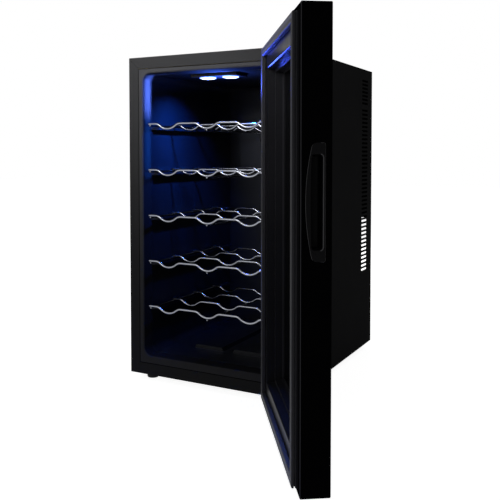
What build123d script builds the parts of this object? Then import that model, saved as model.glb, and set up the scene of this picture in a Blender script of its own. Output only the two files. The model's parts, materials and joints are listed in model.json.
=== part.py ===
"""Free-standing thermoelectric wine cooler with a glazed door hinged on its right side.

Millimetres, +Z up, the front towards negative Y. The pieces are drawn about the cabinet's mid-plane
X = 0, its mid-depth Y = 0 and the underside of its base pan Z = 0. They are then moved together, so that
the part's origin is the middle of the front left foot's underside. The door stands open.
"""

import os
from math import ceil, cos, radians, sin, sqrt

from build123d import *

# Cabinet of folded steel sheet
cabinet_width = 354.0
cabinet_depth = 454.0
cabinet_height = 630.0
sheet = 0.8
seam = 0.3
front_flange = 22.0
rear_flange = 12.0
base_upstand = 22.0

# Vent slots, two groups in a column near the rear edge of each side
slot_length = 39.0
slot_height = 4.6
slot_from_rear = 30.0
upper_slots = 7
upper_slot_pitch = 8.4
upper_slot_from_top = 26.0
lower_slots = 40
lower_slot_pitch = 9.26
lower_slot_from_top = 92.4

# Front collar about the opening, and the moulded liner behind it
opening_from_side = 33.0
opening_from_top = 32.0
opening_from_base = 38.0
opening_radius = 17.0
lip_bevel = 2.0
mouth_taper = 3.0
mouth_depth = 22.0
collar_lap = 6.0
liner_wall = 2.0
liner_depth = 345.0
foam_clearance = 0.1
foam_back = 35.0

# Ledges for the shelves, and lands on the floor that cradle the lowest row
ledge_reach = 11.0
ledge_thickness = 5.0
ledge_from_back = 14.0
land_gap = 29.5
land_slope = 4.0
land_height = 7.0
land_from_front = 86.0
land_from_back = 60.0

# Wave-wire shelves
shelf_count = 5
shelf_pitch = 90.5
lowest_valley = 127.0
wire = 4.0
weld = 0.4
valley_count = 3
valley_half_width = 29.0
valley_depth = 10.0
trough_half_width = 5.0
shelf_end_flat = 17.5
shelf_side_gap = 5.0
shelf_from_front = 6.0
wave_row_pitch = 80.0
wave_rows = 4
shelf_tail = 34.0
rail_from_end = 3.0
rail_clearance = 0.3

# Lamp unit on the ceiling
lamp_width = 100.0
lamp_length = 46.0
lamp_height = 6.0
lamp_wall = 2.0
lamp_from_front = 52.5
lens_spacing = 51.0
lens_diameter = 32.0
lens_rim = 2.0
lens_rim_height = 1.5
lens_drop = 3.0
lens_sides = 18
lamp_board_width = 90.0
lamp_board_length = 38.0
board_thickness = 1.6
fit_clearance = 0.1

# Cooling unit
cooler_from_top = 160.0
module_size = 40.0
module_thickness = 4.0
block_clearance = 2.0
cold_sink_width = 110.0
cold_sink_height = 120.0
cold_base = 4.0
cold_fin = 12.0
hot_sink_width = 170.0
hot_sink_height = 150.0
hot_base = 6.0
hot_fin = 30.0
fin_thickness = 1.5
fin_pitch = 8.4
air_cover_width = 190.0
air_cover_below = 70.0
air_cover_from_top = 10.0
air_cover_depth = 33.0
air_cover_wall = 2.0
grille_slot = 5.0
grille_pitch = 9.0
inner_fan_size = 92.0
inner_fan_depth = 13.0
rear_fan_size = 120.0
rear_fan_depth = 25.0
fan_rim = 2.5
fan_tip_gap = 1.5
fan_plate = 3.0
fan_strut = 6.0
fan_shaft = 2.0
shaft_clearance = 0.05
fan_blades = 7
fan_bore_sides = 20
blade_thickness = 1.4
blade_pitch_angle = 38.0
probe_diameter = 6.0
probe_length = 30.0
probe_from_side = 8.0

# Rear cover over the upper back
rear_cover_below = 180.0
rear_cover_side_gap = 3.0
rear_cover_top_gap = 8.0

# Power box in the open lower back
box_width = 140.0
box_height = 110.0
box_bottom = 40.0
box_depth = 55.0
box_wall = 1.5
board_margin = 6.0
board_standoff = 6.0
inlet_width = 28.0
inlet_height = 20.0
inlet_flange = 4.0
inlet_flange_thickness = 2.0
inlet_depth = 18.0
inlet_recess = 15.0
inlet_wall = 2.5
inlet_pin = 2.0
duct_width = 16.0
duct_depth = 10.0
duct_wall = 1.2
duct_from_centre = 40.0

# Feet
foot_radius = 12.0
foot_height = 12.5
foot_edge = 2.5
foot_sides = 16
front_foot_inset = 36.0
rear_foot_inset = 25.0
front_foot_from_front = 26.0
rear_foot_from_rear = 30.0

# Door, described closed
door_over_top = 1.5
door_bottom = 0.5
door_body = 40.6
door_gap = 9.8
door_wall = 4.0
door_lip = 12.0
aperture_from_side = 44.0
aperture_from_end = 53.0
door_edge = 1.0
inner_wall = 12.0
glass = 4.0
glass_gap = 0.3
pane_gap = 6.5
front_rebate = 7.0
jamb_lap = 6.0
jamb_wall = 2.0
jamb_step = 11.5
jamb_clearance = 0.3
glazing_bead = 2.5
liner_inset = 9.0
liner_plate = 2.5
liner_chamfer = 1.5
gasket_inset = 10.0
gasket_width = 14.0
gasket_clearance = 0.3
gasket_groove = 2.0
gasket_edge = 1.5

# Handle insert in the free edge of the door
handle_length = 151.0
handle_width = 26.0
handle_end_width = 17.0
handle_from_door_back = 6.3
handle_mid_height = 380.0
handle_bow_corner = 6.0
handle_straight_corner = 2.5
handle_flange = 2.0
handle_proud = 0.8
pocket_length = 121.0
pocket_width = 14.5
pocket_depth = 19.5
pocket_from_handle_front = 3.4
pocket_wall = 1.5
pocket_corner = 4.0

# Door hinge
hinge_from_side = 14.0
hinge_from_front = 28.0
door_open_angle = 123.66
hinge_plate = 2.5
hinge_top_gap = 0.6
strap_half_width = 9.0
strap_length = 56.0
strap_setback = 4.0
pin_radius = 3.0
pin_length = 11.0
pin_clearance = 0.05
pin_seat = 0.02
bush_width = 12.0
bush_height = 12.0
bush_collar_width = 16.0
bush_collar = 0.4
boss_width = 18.0
boss_height = 16.0

# Places that several pieces share
front_y = -cabinet_depth / 2
rear_y = cabinet_depth / 2
side_x = cabinet_width / 2
inner_width = cabinet_width - 2 * sheet - 2 * fit_clearance
opening_width = cabinet_width - 2 * opening_from_side
opening_bottom = opening_from_base
opening_top = cabinet_height - opening_from_top
opening_height = opening_top - opening_bottom
opening_middle = (opening_top + opening_bottom) / 2
cavity_bottom = opening_bottom + mouth_taper
cavity_top = opening_top - mouth_taper
shelf_half_width = opening_width / 2 - mouth_taper - shelf_side_gap
outer_valley_x = shelf_half_width - shelf_end_flat - valley_half_width
valley_pitch = 2 * outer_valley_x / (valley_count - 1)
valley_places = [valley_pitch * i - outer_valley_x for i in range(valley_count)]
cooler_height = cabinet_height - cooler_from_top
air_cover_bottom = cooler_height - air_cover_below
air_cover_top = cavity_top - air_cover_from_top
rear_cover_bottom = cooler_height - rear_cover_below
back_wall_y = front_y + liner_depth
back_plate_y = back_wall_y + liner_wall + foam_back
hinge_x = side_x - hinge_from_side
hinge_y = front_y - hinge_from_front
valley_heights = [lowest_valley + shelf_pitch * level for level in range(shelf_count)]
rail_drop = wire - weld


def facing(y):
    """A plane across the cabinet at depth y, seen from the front: local x is X, local y is Z."""
    return Plane(origin=(0, y, 0), x_dir=(1, 0, 0), z_dir=(0, -1, 0))


# Side panels: one sheet each with a front and a rear flange, mitred where it meets the top panel
slot_y = rear_y - slot_from_rear - slot_length / 2
slot_heights = [
    cabinet_height - upper_slot_from_top - upper_slot_pitch * row for row in range(upper_slots)
] + [
    cabinet_height - lower_slot_from_top - lower_slot_pitch * row for row in range(lower_slots)
]
cover_top = cabinet_height - rear_cover_top_gap


def side_panel(side):
    """The left panel for side -1, the right one for side 1."""
    outer = side * side_x
    with BuildPart() as panel:
        with BuildSketch(Plane.XY):
            with Locations((outer - side * sheet / 2, 0)):
                Rectangle(sheet, cabinet_depth)
            with Locations((outer - side * front_flange / 2, front_y + sheet / 2)):
                Rectangle(front_flange, sheet)
        extrude(amount=cabinet_height)
        with BuildSketch(Plane.XY):
            with Locations((outer - side * rear_flange / 2, rear_y - sheet / 2)):
                Rectangle(rear_flange, sheet)
        extrude(amount=cabinet_height - rear_flange - seam)
        with BuildSketch(facing(front_y)):
            Polygon(
                (outer, cabinet_height - seam),
                (outer - side * front_flange, cabinet_height - seam - front_flange),
                (outer - side * front_flange, cabinet_height),
                (outer, cabinet_height),
                align=None,
            )
        extrude(amount=-sheet, mode=Mode.SUBTRACT)
        with BuildSketch(Plane.YZ.offset(outer)):
            with Locations(*[(slot_y, z) for z in slot_heights]):
                Rectangle(slot_length, slot_height)
        extrude(amount=-side * sheet, mode=Mode.SUBTRACT)
    return panel.part


left_side_panel = side_panel(-1)
right_side_panel = side_panel(1)

# Top panel: lies between the side sheets, its front flange mitred at both ends
with BuildPart() as top_panel:
    with BuildSketch(Plane.XY.offset(cabinet_height - sheet)):
        Rectangle(inner_width, cabinet_depth)
    extrude(amount=sheet)
    with BuildSketch(facing(front_y)):
        Polygon(
            (-side_x + seam, cabinet_height),
            (side_x - seam, cabinet_height),
            (side_x - front_flange, cabinet_height - front_flange),
            (-side_x + front_flange, cabinet_height - front_flange),
            align=None,
        )
    extrude(amount=-sheet)
    with BuildSketch(facing(rear_y)):
        with Locations((0, cabinet_height - rear_flange / 2)):
            Rectangle(inner_width, rear_flange)
    extrude(amount=sheet)

# Base pan: floor sheet with an upstand that closes the front below the liner
upstand_width = cabinet_width - 2 * front_flange - 2 * seam
pan_front_y = front_y + sheet + seam
pan_rear_y = rear_y - sheet - seam

with BuildPart() as base_pan:
    with BuildSketch(Plane.XY):
        with Locations((0, (pan_front_y + pan_rear_y) / 2)):
            Rectangle(inner_width, pan_rear_y - pan_front_y)
        with Locations((0, (front_y + pan_front_y) / 2)):
            Rectangle(upstand_width, pan_front_y - front_y)
    extrude(amount=sheet)
    with BuildSketch(facing(front_y)):
        with Locations((0, base_upstand / 2)):
            Rectangle(upstand_width, base_upstand)
    extrude(amount=-sheet)

# Back plate: sheet behind the foam, with a window for the cooling block
window_size = module_size + 2 * block_clearance

with BuildPart() as back_plate:
    with BuildSketch(facing(back_plate_y)):
        with Locations((0, cabinet_height / 2)):
            Rectangle(inner_width, cabinet_height - 2 * sheet)
        with Locations((0, cooler_height)):
            Rectangle(window_size, window_size, mode=Mode.SUBTRACT)
    extrude(amount=-sheet)

# Front collar: moulded frame with a flange, a bevelled lip and a tapered mouth that laps over the liner
collar_width = cabinet_width - 2 * front_flange - 2 * seam
collar_top = cabinet_height - front_flange - seam
collar_bottom = base_upstand + seam
collar_height = collar_top - collar_bottom
collar_middle = (collar_top + collar_bottom) / 2


def opening_outline(grow):
    """The rounded outline of the cabinet's opening, grown on every side."""
    with Locations((0, opening_middle)):
        RectangleRounded(opening_width + 2 * grow, opening_height + 2 * grow, opening_radius + grow)


with BuildPart() as front_collar:
    with BuildSketch(facing(front_y)):
        opening_outline(liner_wall)
    extrude(amount=-(mouth_depth + collar_lap))
    with BuildSketch(facing(front_y)):
        with Locations((0, collar_middle)):
            Rectangle(collar_width, collar_height)
    extrude(amount=-liner_wall)
    with BuildSketch(facing(front_y)):
        opening_outline(-mouth_taper)
    extrude(amount=-mouth_depth, mode=Mode.SUBTRACT)
    with BuildSketch(facing(front_y + lip_bevel)):
        opening_outline(0)
    with BuildSketch(facing(front_y + mouth_depth)):
        opening_outline(-mouth_taper)
    loft(mode=Mode.SUBTRACT)
    with BuildSketch(facing(front_y)):
        opening_outline(lip_bevel)
    with BuildSketch(facing(front_y + lip_bevel)):
        opening_outline(0)
    loft(mode=Mode.SUBTRACT)
    with BuildSketch(facing(front_y + mouth_depth)):
        opening_outline(liner_wall - mouth_taper + seam)
    extrude(amount=-collar_lap, mode=Mode.SUBTRACT)

# Inner liner: tub behind the collar, with shelf ledges on its walls and lands on its floor
tub_y = front_y + mouth_depth + seam
wall_x = opening_width / 2 - mouth_taper
ledge_x = wall_x - ledge_reach
ledge_end = back_wall_y - ledge_from_back
crest_places = [x + valley_pitch / 2 for x in valley_places[:-1]]
land_width = valley_pitch - land_gap
land_start = front_y + land_from_front
land_end = back_wall_y - land_from_back

with BuildPart() as inner_liner:
    with BuildSketch(facing(tub_y)):
        opening_outline(liner_wall - mouth_taper)
    extrude(amount=-(back_wall_y + liner_wall - tub_y))
    with BuildSketch(facing(tub_y)):
        opening_outline(-mouth_taper)
    extrude(amount=-(back_wall_y - tub_y), mode=Mode.SUBTRACT)
    for valley in valley_heights:
        ledge_top = valley + valley_depth - rail_drop - wire / 2 - rail_clearance
        with BuildSketch(Plane.XY.offset(ledge_top - ledge_thickness)):
            for side in (-1, 1):
                Polygon(
                    (side * (wall_x + liner_wall / 2), tub_y),
                    (side * wall_x, tub_y),
                    (side * ledge_x, tub_y + ledge_reach),
                    (side * ledge_x, ledge_end),
                    (side * (wall_x + liner_wall / 2), ledge_end),
                    align=None,
                )
        extrude(amount=ledge_thickness)
    with BuildSketch(facing(land_start)):
        for crest in crest_places:
            Polygon(
                (crest - land_width / 2 - land_slope, cavity_bottom),
                (crest - land_width / 2, cavity_bottom + land_height),
                (crest + land_width / 2, cavity_bottom + land_height),
                (crest + land_width / 2 + land_slope, cavity_bottom),
                align=None,
            )
    extrude(amount=-(land_end - land_start))
    with BuildSketch(facing(back_wall_y)):
        with Locations((0, cooler_height)):
            Rectangle(window_size, window_size)
    extrude(amount=-liner_wall, mode=Mode.SUBTRACT)

# Foam insulation: fills the space between the collar, the liner and the steel
foam_front_y = front_y + sheet
foam_width = cabinet_width - 2 * sheet

with BuildPart() as foam_insulation:
    with BuildSketch(facing(foam_front_y)):
        with Locations((0, cabinet_height / 2)):
            Rectangle(foam_width, cabinet_height - 2 * sheet)
    extrude(amount=-(back_plate_y - foam_front_y))
    with BuildSketch(facing(foam_front_y)):
        opening_outline(liner_wall - mouth_taper + foam_clearance)
    extrude(amount=-(back_wall_y + liner_wall - foam_front_y), mode=Mode.SUBTRACT)
    with BuildSketch(facing(foam_front_y)):
        opening_outline(liner_wall + foam_clearance)
    extrude(amount=-(mouth_depth + collar_lap - sheet), mode=Mode.SUBTRACT)
    with BuildSketch(facing(foam_front_y)):
        with Locations((0, collar_middle)):
            Rectangle(collar_width, collar_height)
    extrude(amount=-(liner_wall - sheet), mode=Mode.SUBTRACT)
    with BuildSketch(facing(back_wall_y)):
        with Locations((0, cooler_height)):
            Rectangle(window_size, window_size)
    extrude(amount=-(back_plate_y - back_wall_y), mode=Mode.SUBTRACT)

# Lamp unit: shallow housing under the ceiling, two domed lenses and the board that lights them
lamp_y = front_y + lamp_from_front
lamp_bottom = cavity_top - lamp_height
lens_places = [(side * lens_spacing / 2, lamp_y) for side in (-1, 1)]
lens_radius = lens_diameter / 2
lens_rim_radius = lens_radius + lens_rim
lens_seat = lamp_bottom + lamp_wall

with BuildPart() as lamp_housing:
    with BuildSketch(Plane.XY.offset(lamp_bottom)):
        with Locations((0, lamp_y)):
            Rectangle(lamp_width, lamp_length)
    extrude(amount=lamp_height)
    with BuildSketch(Plane.XY.offset(lens_seat)):
        with Locations((0, lamp_y)):
            Rectangle(lamp_width - 2 * lamp_wall, lamp_length - 2 * lamp_wall)
    extrude(amount=lamp_height - lamp_wall, mode=Mode.SUBTRACT)
    with BuildSketch(Plane.XY.offset(lamp_bottom)):
        with Locations(*lens_places):
            RegularPolygon(lens_radius + fit_clearance, lens_sides)
    extrude(amount=lamp_wall, mode=Mode.SUBTRACT)

with BuildPart() as lamp_lenses:
    with BuildSketch(Plane.XY.offset(lens_seat)):
        with Locations(*lens_places):
            RegularPolygon(lens_rim_radius, lens_sides)
    extrude(amount=lens_rim_height)
    with BuildSketch(Plane.XY.offset(lens_seat)):
        with Locations(*lens_places):
            RegularPolygon(lens_radius, lens_sides)
    extrude(amount=-(lamp_wall + lens_drop))

with BuildPart() as lamp_board:
    with BuildSketch(Plane.XY.offset(lens_seat + lens_rim_height)):
        with Locations((0, lamp_y)):
            Rectangle(lamp_board_width, lamp_board_length)
    extrude(amount=board_thickness)


# Cooling unit: finned sinks on both sides of the back wall, joined by a block and the module
def finned_sink(base_y, base, fin, width, height, fins_to_rear):
    """A base plate at base_y with upright fins on its front or its rear face."""
    fin_count = int(width // fin_pitch)
    fin_face = base_y + base if fins_to_rear else base_y
    with BuildPart() as sink:
        with BuildSketch(facing(base_y)):
            with Locations((0, cooler_height)):
                Rectangle(width, height)
        extrude(amount=-base)
        with BuildSketch(facing(fin_face)):
            with Locations((0, cooler_height)):
                with GridLocations(fin_pitch, 0, fin_count, 1):
                    Rectangle(fin_thickness, height)
        extrude(amount=-fin if fins_to_rear else fin)
    return sink.part


cold_sink = finned_sink(
    back_wall_y - cold_base, cold_base, cold_fin, cold_sink_width, cold_sink_height, False
)
hot_sink_y = back_plate_y + sheet
hot_sink = finned_sink(hot_sink_y, hot_base, hot_fin, hot_sink_width, hot_sink_height, True)

with BuildPart() as spacer_block:
    with BuildSketch(facing(back_wall_y)):
        with Locations((0, cooler_height)):
            Rectangle(module_size, module_size)
    extrude(amount=-(hot_sink_y - module_thickness - back_wall_y))

with BuildPart() as thermoelectric_module:
    with BuildSketch(facing(hot_sink_y - module_thickness)):
        with Locations((0, cooler_height)):
            Rectangle(module_size, module_size)
    extrude(amount=-module_thickness)


# Axial fans: a square frame with a motor plate on struts, and a rotor that turns in it
def fan_frame(fan_y, size, depth):
    """Frame from fan_y to the rear, with the motor plate at its rear face."""
    bore = size / 2 - fan_rim
    plate_y = fan_y + depth - fan_plate
    with BuildPart() as frame:
        with BuildSketch(facing(fan_y)):
            with Locations((0, cooler_height)):
                Rectangle(size, size)
                RegularPolygon(bore, fan_bore_sides, major_radius=False, mode=Mode.SUBTRACT)
        extrude(amount=-depth)
        with BuildSketch(facing(plate_y)):
            with Locations((0, cooler_height)):
                RegularPolygon(size / 6, 2 * fan_blades)
                Rectangle(2 * bore + fan_rim, fan_strut)
                Rectangle(fan_strut, 2 * bore + fan_rim)
                Circle(fan_shaft + shaft_clearance, mode=Mode.SUBTRACT)
        extrude(amount=-fan_plate)
    return frame.part


def fan_rotor(fan_y, size, depth):
    """Hub, shaft and pitched blades, clear of the frame's bore and of its motor plate."""
    tip = size / 2 - fan_rim - fan_tip_gap
    hub = size / 6
    hub_length = depth - fan_plate - 2 * shaft_clearance - fan_tip_gap
    hub_y = fan_y + fan_tip_gap
    chord = 0.8 * hub_length / cos(radians(blade_pitch_angle))
    with BuildPart() as rotor:
        with BuildSketch(facing(hub_y)):
            with Locations((0, cooler_height)):
                RegularPolygon(hub, 2 * fan_blades, rotation=90 / fan_blades)
        extrude(amount=-hub_length)
        with BuildSketch(facing(hub_y + hub_length)):
            with Locations((0, cooler_height)):
                Circle(fan_shaft)
        extrude(amount=-fan_plate)
        for blade in range(fan_blades):
            turn = 2 * blade * radians(180) / fan_blades
            outward = Vector(cos(turn), 0, sin(turn))
            root = Vector(0, hub_y + hub_length / 2, cooler_height) + outward * (0.8 * hub)
            with BuildSketch(Plane(origin=root, x_dir=(0, 1, 0), z_dir=outward)):
                Rectangle(chord, blade_thickness, rotation=blade_pitch_angle)
            extrude(amount=sqrt(tip**2 - (chord / 2) ** 2) - 0.8 * hub)
    return rotor.part


air_cover_y = back_wall_y - air_cover_depth
inner_fan_y = air_cover_y + air_cover_wall
inner_fan_frame = fan_frame(inner_fan_y, inner_fan_size, inner_fan_depth)
inner_fan_rotor = fan_rotor(inner_fan_y, inner_fan_size, inner_fan_depth)
rear_fan_y = rear_y - rear_fan_depth
rear_fan_frame = fan_frame(rear_fan_y, rear_fan_size, rear_fan_depth)
rear_fan_rotor = fan_rotor(rear_fan_y, rear_fan_size, rear_fan_depth)


def grille_slots(radius):
    """Places and lengths of level slots that together fill a circle of this radius."""
    rows = ceil(2 * radius / grille_pitch) - 1
    heights = [grille_pitch * (row - (rows - 1) / 2) for row in range(rows)]
    return [(h, 2 * sqrt(radius**2 - (abs(h) + grille_slot / 2) ** 2)) for h in heights]


# Air cover: open-backed box over the cold sink, with a grille for the fan and outlets above and below
air_cover_height = air_cover_top - air_cover_bottom
air_cover_middle = (air_cover_top + air_cover_bottom) / 2
outlet_width = air_cover_width - 4 * grille_pitch
outlet_depth = air_cover_depth - inner_fan_depth - 2 * air_cover_wall

with BuildPart() as air_cover:
    with BuildSketch(facing(air_cover_y)):
        with Locations((0, air_cover_middle)):
            Rectangle(air_cover_width, air_cover_height)
    extrude(amount=-air_cover_depth)
    with BuildSketch(facing(inner_fan_y)):
        with Locations((0, air_cover_middle)):
            Rectangle(air_cover_width - 2 * air_cover_wall, air_cover_height - 2 * air_cover_wall)
    extrude(amount=-(air_cover_depth - air_cover_wall), mode=Mode.SUBTRACT)
    with BuildSketch(facing(air_cover_y)):
        for height, length in grille_slots(inner_fan_size / 2 - fan_rim):
            with Locations((0, cooler_height + height)):
                Rectangle(length, grille_slot)
    extrude(amount=-air_cover_wall, mode=Mode.SUBTRACT)
    with BuildSketch(Plane.XY.offset(air_cover_bottom)):
        with Locations((0, back_wall_y - air_cover_wall - outlet_depth / 2)):
            Rectangle(outlet_width, outlet_depth)
    extrude(amount=air_cover_height, mode=Mode.SUBTRACT)

# Temperature probe: lies against the back wall inside the air cover
probe_x = air_cover_width / 2 - probe_from_side - probe_length
probe_y = back_wall_y - probe_diameter / 2 - fit_clearance
probe_z = air_cover_bottom + air_cover_wall + probe_from_side

with BuildPart() as temperature_probe:
    with BuildSketch(Plane.YZ.offset(probe_x)):
        with Locations((probe_y, probe_z)):
            Circle(probe_diameter / 2)
    extrude(amount=probe_length)

# Rear cover: sheet screwed over the upper back, slotted behind the fan
cover_width = cabinet_width - 2 * rear_cover_side_gap
cover_height = cover_top - rear_cover_bottom

with BuildPart() as rear_cover:
    with BuildSketch(facing(rear_y)):
        with Locations((0, (cover_top + rear_cover_bottom) / 2)):
            Rectangle(cover_width, cover_height)
        for height, length in grille_slots(rear_fan_size / 2 - fan_rim):
            with Locations((0, cooler_height + height)):
                Rectangle(length, grille_slot, mode=Mode.SUBTRACT)
    extrude(amount=-sheet)

# Power box: tray on the back plate with its board, lid and mains inlet
box_y = back_plate_y + sheet
box_middle = box_bottom + box_height / 2
lid_y = box_y + box_depth
board_y = box_y + box_wall + board_standoff
board_width = box_width - 2 * box_wall - 2 * board_margin
board_height = box_height - 2 * box_wall - 2 * board_margin
inlet_outer_width = inlet_width + 2 * inlet_flange
inlet_outer_height = inlet_height + 2 * inlet_flange
inlet_places = [(-inlet_width / 5, 0), (0, inlet_height / 8), (inlet_width / 5, 0)]

with BuildPart() as power_box:
    with BuildSketch(facing(box_y)):
        with Locations((0, box_middle)):
            Rectangle(box_width, box_height)
    extrude(amount=-box_depth)
    with BuildSketch(facing(box_y + box_wall)):
        with Locations((0, box_middle)):
            Rectangle(box_width - 2 * box_wall, box_height - 2 * box_wall)
    extrude(amount=-(box_depth - box_wall), mode=Mode.SUBTRACT)
    with BuildSketch(facing(box_y + box_wall)):
        with Locations((0, box_middle)):
            with GridLocations(board_width - 2 * board_margin, board_height - 2 * board_margin, 2, 2):
                Rectangle(board_margin, board_margin)
    extrude(amount=-board_standoff)

transformer_size = board_height * 0.4
capacitor_radius = board_height * 0.1
part_height = (box_depth - box_wall - board_standoff) * 0.4

with BuildPart() as power_board:
    with BuildSketch(facing(board_y)):
        with Locations((0, box_middle)):
            Rectangle(board_width, board_height)
    extrude(amount=-board_thickness)
    with BuildSketch(facing(board_y + board_thickness)):
        with Locations((-board_width / 4, box_middle + board_height / 5)):
            Rectangle(transformer_size, transformer_size)
        with Locations((board_width / 4, box_middle), (board_width / 3, box_middle + board_height / 4)):
            RegularPolygon(capacitor_radius, 12)
    extrude(amount=-part_height)

with BuildPart() as power_box_lid:
    with BuildSketch(facing(lid_y)):
        with Locations((0, box_middle)):
            Rectangle(box_width, box_height)
            Rectangle(
                inlet_width + 2 * fit_clearance,
                inlet_height + 2 * fit_clearance,
                mode=Mode.SUBTRACT,
            )
    extrude(amount=-box_wall)

with BuildPart() as mains_inlet:
    with BuildSketch(facing(lid_y + box_wall)):
        with Locations((0, box_middle)):
            Rectangle(inlet_outer_width, inlet_outer_height)
    extrude(amount=-inlet_flange_thickness)
    with BuildSketch(facing(lid_y + box_wall)):
        with Locations((0, box_middle)):
            Rectangle(inlet_width, inlet_height)
    extrude(amount=inlet_depth)
    with BuildSketch(facing(lid_y + box_wall + inlet_flange_thickness)):
        with Locations((0, box_middle)):
            Rectangle(inlet_width - 2 * inlet_wall, inlet_height - 2 * inlet_wall)
    extrude(amount=inlet_recess, mode=Mode.SUBTRACT)
    with BuildSketch(facing(lid_y + box_wall + inlet_flange_thickness - inlet_recess)):
        for place in inlet_places:
            with Locations((place[0], box_middle + place[1])):
                Rectangle(inlet_pin, 2 * inlet_pin)
    extrude(amount=-inlet_recess * 0.8)

# Cable duct: plastic channel on the back plate that leads the wires from the power box to the hot sink
duct_start = box_bottom + box_height
duct_end = cooler_height - hot_sink_height / 2

with BuildPart() as cable_duct:
    with BuildSketch(Plane.XY.offset(duct_start)):
        with Locations((duct_from_centre, hot_sink_y + duct_depth / 2)):
            Rectangle(duct_width, duct_depth)
            Rectangle(duct_width - 2 * duct_wall, duct_depth - 2 * duct_wall, mode=Mode.SUBTRACT)
    extrude(amount=duct_end - duct_start)

# Feet: round pads under the corners of the base pan, with a bevelled lower edge
front_foot_x = side_x - front_foot_inset
rear_foot_x = side_x - rear_foot_inset
front_foot_y = front_y + front_foot_from_front
rear_foot_y = rear_y - rear_foot_from_rear

with BuildPart() as feet:
    with BuildSketch(Plane.XY):
        with Locations(
            (-front_foot_x, front_foot_y),
            (front_foot_x, front_foot_y),
            (-rear_foot_x, rear_foot_y),
            (rear_foot_x, rear_foot_y),
        ):
            RegularPolygon(foot_radius, foot_sides)
    extrude(amount=-foot_height)
    chamfer(feet.edges().group_by(Axis.Z)[0], length=foot_edge)

# Shelves: waves of wire across the cabinet, welded on rails that run from front to back
wave_row_places = [front_y + shelf_from_front + wave_row_pitch * row for row in range(wave_rows)]
rail_start = wave_row_places[0] - wire / 2
rail_end = wave_row_places[-1] + shelf_tail
rail_x = shelf_half_width - rail_from_end - wire / 2
wire_corner = wire / sqrt(3)


def wave_shelf(valley):
    """A shelf whose valleys lie at this height: every wave runs level, dips to a trough and rises again."""
    crest = valley + valley_depth
    wave_points = [(-shelf_half_width, crest)]
    for x in valley_places:
        wave_points += [
            (x - valley_half_width, crest),
            (x - trough_half_width, valley),
            (x + trough_half_width, valley),
            (x + valley_half_width, crest),
        ]
    wave_points.append((shelf_half_width, crest))
    with BuildPart() as shelf:
        for row_y in wave_row_places:
            with BuildLine(facing(row_y)) as wave:
                Polyline(*wave_points)
            with BuildSketch(Plane(origin=wave.line @ 0, x_dir=(0, 1, 0), z_dir=wave.line % 0)):
                RegularPolygon(wire_corner, 6)
            sweep(path=wave.line, transition=Transition.RIGHT)
        with BuildSketch(facing(rail_start)):
            with Locations((-rail_x, crest - rail_drop), (rail_x, crest - rail_drop)):
                RegularPolygon(wire_corner, 6)
            with Locations((valley_places[valley_count // 2], valley - rail_drop)):
                RegularPolygon(wire_corner, 6)
        extrude(amount=-(rail_end - rail_start))
    return shelf.part


shelves = {f"shelf_{level + 1}": wave_shelf(z) for level, z in enumerate(reversed(valley_heights))}

# Door hinge: brackets on the cabinet with fixed pins, and bushes in the door
door_top = cabinet_height + door_over_top
door_height = door_top - door_bottom
arm_bottom = door_top + hinge_top_gap
bracket_top = arm_bottom + hinge_plate
pin_bore = pin_radius + pin_seat
strap_near_y = front_y + strap_setback
strap_end_y = strap_near_y + strap_length


def strap_outline(near_y):
    """Outline of a straight strap from near_y to its rear end over or under the cabinet."""
    with Locations((hinge_x, (near_y + strap_end_y) / 2)):
        Rectangle(2 * strap_half_width, strap_end_y - near_y)


def pin_hole():
    """The hole in the strap that holds its pin."""
    with Locations((hinge_x, hinge_y)):
        Circle(pin_bore, mode=Mode.SUBTRACT)


with BuildPart() as upper_hinge_bracket:
    with BuildSketch(Plane.XY.offset(cabinet_height)):
        strap_outline(strap_near_y)
    extrude(amount=bracket_top - cabinet_height)
    with BuildSketch(Plane.XY.offset(arm_bottom)):
        strap_outline(hinge_y - strap_half_width)
        pin_hole()
    extrude(amount=hinge_plate)

with BuildPart() as lower_hinge_bracket:
    with BuildSketch(Plane.XY.offset(-hinge_plate)):
        strap_outline(hinge_y - strap_half_width)
        pin_hole()
    extrude(amount=hinge_plate)

with BuildPart() as hinge_pins:
    with BuildSketch(Plane.XY.offset(door_top - pin_length)):
        with Locations((hinge_x, hinge_y)):
            Circle(pin_radius)
    extrude(amount=bracket_top - door_top + pin_length)
    with BuildSketch(Plane.XY.offset(-hinge_plate)):
        with Locations((hinge_x, hinge_y)):
            Circle(pin_radius)
    extrude(amount=hinge_plate + door_bottom + pin_length)

# Door frame: moulded ring, hollow behind its front face, with seats for glass, handle and bushes
door_back_y = front_y - door_gap
door_front_y = door_back_y - door_body
door_middle = door_bottom + door_height / 2
aperture_width = cabinet_width - 2 * aperture_from_side
aperture_height = door_height - 2 * aperture_from_end
jamb_outer = jamb_lap + jamb_wall
seat_lap = jamb_outer + jamb_clearance
pane_seat_y = door_front_y + glass_gap + glass + pane_gap
pane_back_y = pane_seat_y + glass


def door_rectangle(inset_from_aperture, mode=Mode.ADD):
    """A rectangle about the door's middle that stands this far outside the aperture."""
    with Locations((0, door_middle)):
        Rectangle(
            aperture_width + 2 * inset_from_aperture,
            aperture_height + 2 * inset_from_aperture,
            mode=mode,
        )


def door_outline(inset, mode=Mode.ADD):
    """A rectangle about the door's middle that stands this far inside the door's edge."""
    with Locations((0, door_middle)):
        Rectangle(cabinet_width - 2 * inset, door_height - 2 * inset, mode=mode)


handle_back_y = door_back_y - handle_from_door_back
handle_front_y = handle_back_y - handle_width
handle_end_y = handle_front_y + handle_end_width
handle_low = handle_mid_height - handle_length / 2
handle_high = handle_mid_height + handle_length / 2
pocket_y = handle_front_y + pocket_from_handle_front + pocket_width / 2
free_edge = Plane.YZ.offset(-side_x)


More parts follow.
